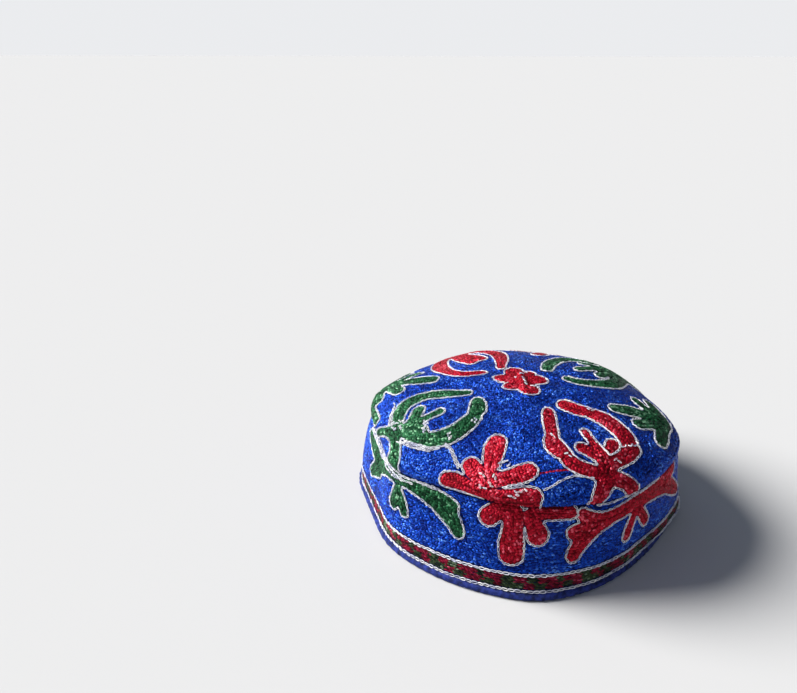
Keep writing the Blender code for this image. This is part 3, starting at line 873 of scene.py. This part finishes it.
def ring_mesh(name, wall, points, chart, colours, around, rings, poles):
    """A closed mesh from rings of points: outer ones first, from the top down, then inner ones up."""
    place = np.arange(around)
    after = (place + 1) % around
    quads = []
    pairs = [(ring, ring + 1) for ring in range(rings - 1)]
    if not poles:
        pairs.append((rings - 1, 0))
    for high, low in pairs:
        quads.append(np.column_stack([
            high * around + place, low * around + place, low * around + after, high * around + after,
        ]))
    faces = [np.vstack(quads)]
    if poles:
        top, under = rings * around, rings * around + 1
        faces.insert(0, np.vstack([
            np.column_stack([np.full(around, top), place, after]),
            np.column_stack([np.full(around, under), (rings - 1) * around + after, (rings - 1) * around + place]),
        ]))
    u, v = wall.bake_place(chart[:, 0], chart[:, 1], chart[:, 0])
    uvs = {"strand": chart}
    if poles:
        uvs["chart"] = np.column_stack([u, v])
    return new_mesh(name, points, faces, uvs, beds=colours)


def nodes_of(name):
    """A new material with its tree and its Principled shader."""
    material = bpy.data.materials.new(name)
    material.use_nodes = True
    tree = material.node_tree
    return material, tree, tree.nodes["Principled BSDF"]


def add_node(tree, kind, **values):
    """A node with its properties and, by socket name, its values."""
    node = tree.nodes.new("ShaderNode" + kind)
    for name, value in values.items():
        if hasattr(node, name):
            setattr(node, name, value)
        else:
            node.inputs[name.replace("_", " ")].default_value = value
    return node


def thread_material(colour):
    """Rayon thread: each stitch has its own tone, with two plied strands, a fine twist and a gloss."""
    material, tree, shader = nodes_of("thread_" + colour)
    link = tree.links.new
    tone = add_node(tree, "Attribute", attribute_name="tone")
    place = add_node(tree, "TexCoord")
    patches = add_node(tree, "TexNoise", Scale=85.0, Detail=3.0)
    link(place.outputs["Object"], patches.inputs["Vector"])
    shift = add_node(tree, "MapRange")
    for socket, value in (("From Min", 0.3), ("From Max", 0.7), ("To Min", -0.24), ("To Max", 0.24)):
        shift.inputs[socket].default_value = value
    link(patches.outputs["Fac"], shift.inputs["Value"])
    total = add_node(tree, "Math", operation="ADD", use_clamp=True)
    link(tone.outputs["Fac"], total.inputs[0])
    link(shift.outputs["Result"], total.inputs[1])
    ramp = add_node(tree, "ValToRGB")
    stops = ramp.color_ramp.elements
    stops[1].position = 1.0
    for position in THREAD_STOPS[1:-1]:
        stops.new(position)
    for stop, flat in zip(stops, THREADS[colour]):
        stop.color = (*flat, 1)
    link(total.outputs["Value"], ramp.inputs["Fac"])
    strand = add_node(tree, "UVMap", uv_map="strand")
    twist = add_node(tree, "TexWave", wave_type="BANDS", bands_direction="DIAGONAL", Scale=1.9, Distortion=0.6)
    link(strand.outputs["UV"], twist.inputs["Vector"])
    split = add_node(tree, "SeparateXYZ")
    link(strand.outputs["UV"], split.inputs["Vector"])
    aside = add_node(tree, "Math", operation="ABSOLUTE")
    link(split.outputs["Y"], aside.inputs[0])
    furrow = add_node(tree, "MapRange", interpolation_type="SMOOTHSTEP")
    for socket, value in (("From Min", 0.0), ("From Max", 0.16), ("To Min", 0.45), ("To Max", 1.0)):
        furrow.inputs[socket].default_value = value
    link(aside.outputs["Value"], furrow.inputs["Value"])
    relief = add_node(tree, "Math", operation="MULTIPLY_ADD")
    relief.inputs[1].default_value = 0.4
    link(twist.outputs["Fac"], relief.inputs[0])
    link(furrow.outputs["Result"], relief.inputs[2])
    depth = add_node(tree, "MapRange")
    for socket, value in (("From Min", 0.45), ("From Max", 1.35), ("To Min", 0.55), ("To Max", 1.0)):
        depth.inputs[socket].default_value = value
    link(relief.outputs["Value"], depth.inputs["Value"])
    darker = add_node(tree, "Mix", data_type="RGBA", blend_type="MULTIPLY")
    darker.inputs["Factor"].default_value = 0.8
    link(ramp.outputs["Color"], darker.inputs[6])
    link(depth.outputs["Result"], darker.inputs[7])
    link(darker.outputs[2], shader.inputs["Base Color"])
    bump = add_node(tree, "Bump", Strength=0.5, Distance=0.0001)
    link(relief.outputs["Value"], bump.inputs["Height"])
    link(bump.outputs["Normal"], shader.inputs["Normal"])
    shader.inputs["Roughness"].default_value = 0.30
    shader.inputs["Metallic"].default_value = {"white": 0.0, "blue": 0.55}.get(colour, 0.36)
    shader.inputs["Specular IOR Level"].default_value = 0.12
    return material


def woven(tree, scale):
    """The height of a plain weave, from warp and weft as two crossed waves."""
    link = tree.links.new
    strand = add_node(tree, "UVMap", uv_map="strand")
    weave = add_node(tree, "Math", operation="MAXIMUM")
    for number, direction in enumerate("XY"):
        wave = add_node(tree, "TexWave", bands_direction=direction, Scale=scale, Distortion=0.4)
        link(strand.outputs["UV"], wave.inputs["Vector"])
        link(wave.outputs["Fac"], weave.inputs[number])
    return weave.outputs["Value"]


def finish_cloth(tree, shader, weave, dark, light, bump_distance, patch_scale):
    """Mixes two colours by the weave and worn patches, and raises the weave."""
    link = tree.links.new
    place = add_node(tree, "TexCoord")
    patches = add_node(tree, "TexNoise", Scale=patch_scale, Detail=4.0)
    link(place.outputs["Object"], patches.inputs["Vector"])
    worn = add_node(tree, "MapRange")
    for socket, value in (("From Min", 0.34), ("From Max", 0.66), ("To Min", 0.0), ("To Max", 1.0)):
        worn.inputs[socket].default_value = value
    link(patches.outputs["Fac"], worn.inputs["Value"])
    amount = add_node(tree, "Math", operation="MULTIPLY")
    link(weave, amount.inputs[0])
    link(worn.outputs["Result"], amount.inputs[1])
    mix = add_node(tree, "Mix", data_type="RGBA")
    for socket, value in ((6, dark), (7, light)):
        if isinstance(value, tuple):
            mix.inputs[socket].default_value = (*value, 1)
        else:
            link(value, mix.inputs[socket])
    link(amount.outputs["Value"], mix.inputs["Factor"])
    link(mix.outputs[2], shader.inputs["Base Color"])
    bump = add_node(tree, "Bump", Strength=0.5, Distance=bump_distance)
    link(weave, bump.inputs["Height"])
    link(bump.outputs["Normal"], shader.inputs["Normal"])


def ground_material():
    """The cloth under the stitches: a dull weave, dyed like the motif that covers it."""
    material, tree, shader = nodes_of("ground_cloth")
    bed = add_node(tree, "Attribute", attribute_name="bed")
    deep = add_node(tree, "Mix", data_type="RGBA", blend_type="MULTIPLY")
    deep.inputs["Factor"].default_value = 1.0
    deep.inputs[7].default_value = (0.35, 0.35, 0.35, 1)
    tree.links.new(bed.outputs["Color"], deep.inputs[6])
    finish_cloth(tree, shader, woven(tree, 2.2), deep.outputs[2], bed.outputs["Color"], 0.00008, 55.0)
    shader.inputs["Roughness"].default_value = 0.85
    shader.inputs["Specular IOR Level"].default_value = 0.10
    return material


def binding_material():
    """Smooth satin: a fine weave, lighter where the fold catches the light."""
    material, tree, shader = nodes_of("binding_satin")
    finish_cloth(tree, shader, woven(tree, 1.5), (0.004, 0.009, 0.055), (0.040, 0.070, 0.420), 0.00014, 420.0)
    shader.inputs["Roughness"].default_value = 0.60
    shader.inputs["Specular IOR Level"].default_value = 0.14
    return material


def clear_of(chart, field, middles, least):
    """Which stitches lie at least so far outside a field."""
    return chart.read(field, *middles.T) >= least


def kept(group, keep):
    wall, middles, headings, lengths = group
    return wall, middles[keep], headings[keep], lengths[keep]


def in_reach(wall, middles):
    """Which stitches lie on the wall and not past its seam or border."""
    if wall.name == "crown":
        return np.hypot(*middles.T) < CROWN_REACH - SEAM_MARGIN
    return (middles[:, 1] < BAND_TOP - SEAM_MARGIN) & (middles[:, 1] > BORDER_ROWS[-1][1] + 1.0)


def outline_groups(wall):
    """White chains round every motif, and single rows of chain."""
    chart, groups = wall.chart, []
    for patch in chart.patches:
        group = (wall, *stitches_along(chart.contours(patch["field"], 0.0), OUTLINE_PITCH))
        keep = in_reach(wall, group[1])
        for other in chart.patches:
            hidden = other is not patch and other["over"] is not patch
            if hidden:
                keep &= clear_of(chart, other["field"], group[1], -0.6)
        groups.append(kept(group, keep))
    for line in chart.chains["white"]:
        groups.append((wall, *stitches_along([line], OUTLINE_PITCH)))
    return groups


def mark_groups(wall):
    """Loose white stitches on top of the crown's motifs."""
    groups = []
    for azimuth, middle, start, end in MARKS:
        groups.append((wall, *stitches_along([on_crown((start, end), azimuth, middle)], MARK_PITCH)))
    return groups


def fill_groups(wall, colour):
    """Rows of stitches inside the motifs of one colour, each row a step further in."""
    chart, groups = wall.chart, []
    for patch in chart.patches:
        if patch["colour"] != colour:
            continue
        level = -FIRST_FILL_ROW
        while level > patch["field"].min():
            group = (wall, *stitches_along(chart.contours(patch["field"], level), FILL_PITCH))
            keep = in_reach(wall, group[1])
            if patch["over"] is not None:
                keep &= clear_of(chart, patch["over"]["field"], group[1], 0.8)
            groups.append(kept(group, keep))
            level -= FILL_ROW
    return groups


def crown_ground(wall):
    """Rows of ground stitches that echo the motifs."""
    chart, groups = wall.chart, []
    field = np.minimum(chart.all, CROWN_REACH + 0.3 - np.hypot(chart.x, chart.y))
    level = FIRST_GROUND_ROW
    while level < field.max():
        groups.append((wall, *stitches_along(chart.contours(field, level), GROUND_PITCH)))
        level += GROUND_ROW
    return [kept(group, in_reach(wall, group[1])) for group in groups]


def band_ground(wall):
    """Level rows of ground stitches, with one row round each motif."""
    chart = wall.chart
    groups = [(wall, *stitches_along(chart.contours(chart.all, FIRST_GROUND_ROW), GROUND_PITCH))]
    height = BORDER_ROWS[-1][1] + 1.3
    while height < BAND_TOP - SEAM_MARGIN:
        around = np.linspace(-BAND_LENGTH / 2, BAND_LENGTH / 2, 400) + dice.uniform(0, DASH_PITCH)
        group = (wall, *stitches_along([np.column_stack([around, np.full(400, height)])], DASH_PITCH))
        groups.append(kept(group, clear_of(chart, chart.all, group[1], FIRST_GROUND_ROW + 0.55)))
        height += DASH_ROW
    return [kept(group, in_reach(wall, group[1])) for group in groups]


def level_line(height, start=0.0):
    """A line round the band at one height, with a slight wave of the hand."""
    around = np.linspace(-BAND_LENGTH / 2, BAND_LENGTH / 2, 500) + start
    return np.column_stack([around, height + 0.2 * np.sin(around / 17.0)])


def border_groups(wall):
    """The border's open chains."""
    heights = [height for kind, height in BORDER_ROWS if kind == "border"]
    return [(wall, *stitches_along([level_line(height)], BORDER_PITCH)) for height in heights]


def block_groups(wall, wants_red):
    """The border's blocks of one colour: short lines of stitches that change colour together."""
    groups = []
    heights = [height for kind, height in BORDER_ROWS if kind == "block"]
    for number, height in enumerate(heights):
        for line in range(BLOCK_LINES):
            offset = (line - (BLOCK_LINES - 1) / 2) * BLOCK_ROW
            start = 0.62 * BLOCK_PITCH * line
            group = (wall, *stitches_along([level_line(height + offset, start)], BLOCK_PITCH))
            reach = group[1][:, 0] / BLOCK_LENGTH + 0.5 * number
            uneven = 0.22 * np.sin(2.1 * reach + number) + 0.10 * np.sin(2.4 * line)
            is_red = np.sin(pi * (reach + uneven)) > (-0.35 if number else 0.15)
            groups.append(kept(group, is_red == wants_red))
    return groups


def binding_mesh(wall, around=360):
    """The plain strip folded round the rim: plump, slightly puckered and flat underneath."""
    low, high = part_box("hem_binding")
    tree = tree_of("hem_binding")
    # Columns: distance out from the strip's middle line, height; as shares of its half width and height
    section = (
        (0.10, 1.02), (0.55, 1.00), (0.85, 0.88), (1.02, 0.66), (1.06, 0.45), (1.00, 0.22),
        (0.82, 0.05), (0.55, 0.0), (-0.55, 0.0), (-0.85, 0.10), (-1.0, 0.3), (-1.0, 0.75), (-0.8, 1.0),
    )
    tall = high.z - low.z
    half_width = 0.0028
    rows, charts = [], []
    for step in range(around):
        azimuth = step * 360 / around
        hit = outer_hit(tree, azimuth, 0.0, low.z + 0.45 * tall)
        turn = radians(azimuth)
        middle = Vector((hit.x, hit.y, 0)) - Vector((sin(turn), -cos(turn), 0)) * half_width
        pucker = 0.00012 * sin(azimuth * 1.9 + 2 * sin(azimuth * 0.23)) + 0.00008 * sin(azimuth * 4.3)
        for number, (out, up) in enumerate(section):
            swell = pucker if 0 < number < 7 else 0.0
            reach = out * half_width + swell
            rows.append((
                middle.x + sin(turn) * reach,
                middle.y - cos(turn) * reach,
                low.z + up * tall * 0.88 * (1 + 0.02 * sin(azimuth * 0.31)),
            ))
            charts.append((azimuth * MM_PER_DEGREE, number * 1.2))
    count = len(section)
    place = np.arange(around)
    after = (place + 1) % around
    quads = []
    for corner in range(count):
        beyond = (corner + 1) % count
        quads.append(np.column_stack([
            place * count + corner, place * count + beyond, after * count + beyond, after * count + corner,
        ]))
    chart = np.array(charts)
    return new_mesh("binding_strip", np.array(rows), [np.vstack(quads)], {"strand": chart})


# Light. Angles in degrees, colours in linear light; the sky's ramp goes by the sine of the elevation
SUN_AZIMUTH = -91.0
SUN_ELEVATION = 34.0
SUN_STRENGTH = 7.4
SUN_WIDTH = 32.0
FLOOR_COLOUR = (0.58, 0.58, 0.58)
HORIZON_COLOUR = (0.83, 0.84, 0.86)
SKY_COLOUR = (0.14, 0.16, 0.20)
HORIZON_TOP = 0.07
SKY_FROM = 0.22


def add_camera():
    data = bpy.data.cameras.new("camera")
    data.sensor_width = 36.0
    data.lens = 32.434
    camera = bpy.data.objects.new("camera", data)
    camera.location = (POLE_X + 0.0277, POLE_Y - 0.3668, 0.2413)
    camera.rotation_euler = (radians(67.646), 0.0, radians(15.0))
    bpy.context.collection.objects.link(camera)
    bpy.context.scene.camera = camera


def add_studio():
    """A plain pale floor, one wide sun from the left and a dim sky over a pale horizon."""
    bpy.ops.mesh.primitive_plane_add(size=80.0, location=(0, 0, 0))
    floor = bpy.context.object
    floor.name = "floor"
    material, _, shader = nodes_of("floor")
    shader.inputs["Base Color"].default_value = (*FLOOR_COLOUR, 1)
    shader.inputs["Roughness"].default_value = 1.0
    shader.inputs["Specular IOR Level"].default_value = 0.0
    floor.data.materials.append(material)
    data = bpy.data.lights.new("sun", "SUN")
    data.energy = SUN_STRENGTH
    data.angle = radians(SUN_WIDTH)
    data.color = (1.0, 0.985, 0.96)
    sun = bpy.data.objects.new("sun", data)
    turn, rise = radians(SUN_AZIMUTH), radians(SUN_ELEVATION)
    place = Vector((sin(turn) * cos(rise), -cos(turn) * cos(rise), sin(rise)))
    sun.rotation_euler = place.to_track_quat("Z", "Y").to_euler()
    bpy.context.collection.objects.link(sun)
    world = bpy.data.worlds.new("surround")
    world.use_nodes = True
    tree = world.node_tree
    direction = add_node(tree, "TexCoord")
    split = add_node(tree, "SeparateXYZ")
    tree.links.new(direction.outputs["Generated"], split.inputs["Vector"])
    ramp = add_node(tree, "ValToRGB")
    stops = ramp.color_ramp.elements
    stops[0].position, stops[0].color = HORIZON_TOP, (*HORIZON_COLOUR, 1)
    stops[1].position, stops[1].color = SKY_FROM, (*SKY_COLOUR, 1)
    tree.links.new(split.outputs["Z"], ramp.inputs["Fac"])
    tree.links.new(ramp.outputs["Color"], tree.nodes["Background"].inputs["Color"])
    bpy.context.scene.world = world
    bpy.context.scene.view_settings.view_transform = "Standard"


def build_cap():
    crown = Wall("crown", crown_chart(), Skin(crown_lines(), True))
    band = Wall("band", band_chart(), Skin(band_lines(), False))
    for wall in (crown, band):
        wall.relief = thread_relief(wall.chart)
    ground_cloth = ground_material()
    crown_cloth = add_object("crown_cloth", crown_shell(crown), ground_cloth)
    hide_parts("crown")
    band_cloth = add_object("band_cloth", band_shell(band), ground_cloth)
    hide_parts("side_band")
    binding = add_object("binding_strip", binding_mesh(band), binding_material())
    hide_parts("hem_binding")
    threads = {colour: thread_material(colour) for colour in THREADS}
    dash, grain, link = dash_template(), grain_template(), link_template()
    red_lines = [(crown, *stitches_along(crown.chart.chains["red"], FILL_PITCH))]
    # Columns: name, colour, template, groups of stitches, kind of stitch
    pieces = (
        ("crown_ground", "blue", dash, crown_ground(crown), "ground"),
        ("band_ground", "blue", dash, band_ground(band), "dash"),
        ("crown_red_fill", "red", grain, fill_groups(crown, "red"), "fill"),
        ("band_red_fill", "red", grain, fill_groups(band, "red"), "fill"),
        ("crown_green_fill", "green", grain, fill_groups(crown, "green"), "fill"),
        ("band_green_fill", "green", grain, fill_groups(band, "green"), "fill"),
        ("crown_red_vine", "red", grain, red_lines, "fill"),
        ("crown_outline", "white", link, outline_groups(crown), "outline"),
        ("band_outline", "white", link, outline_groups(band), "outline"),
        ("crown_marks", "white", link, mark_groups(crown), "mark"),
        ("border_chain", "white", link, border_groups(band), "border"),
        ("border_red", "crimson", dash, block_groups(band, True), "block"),
        ("border_green", "olive", dash, block_groups(band, False), "block"),
    )
    for name, colour, template, groups, kind in pieces:
        add_object(name, stitch_mesh(name, template, groups, kind), threads[colour])


add_camera()
add_studio()
build_cap()
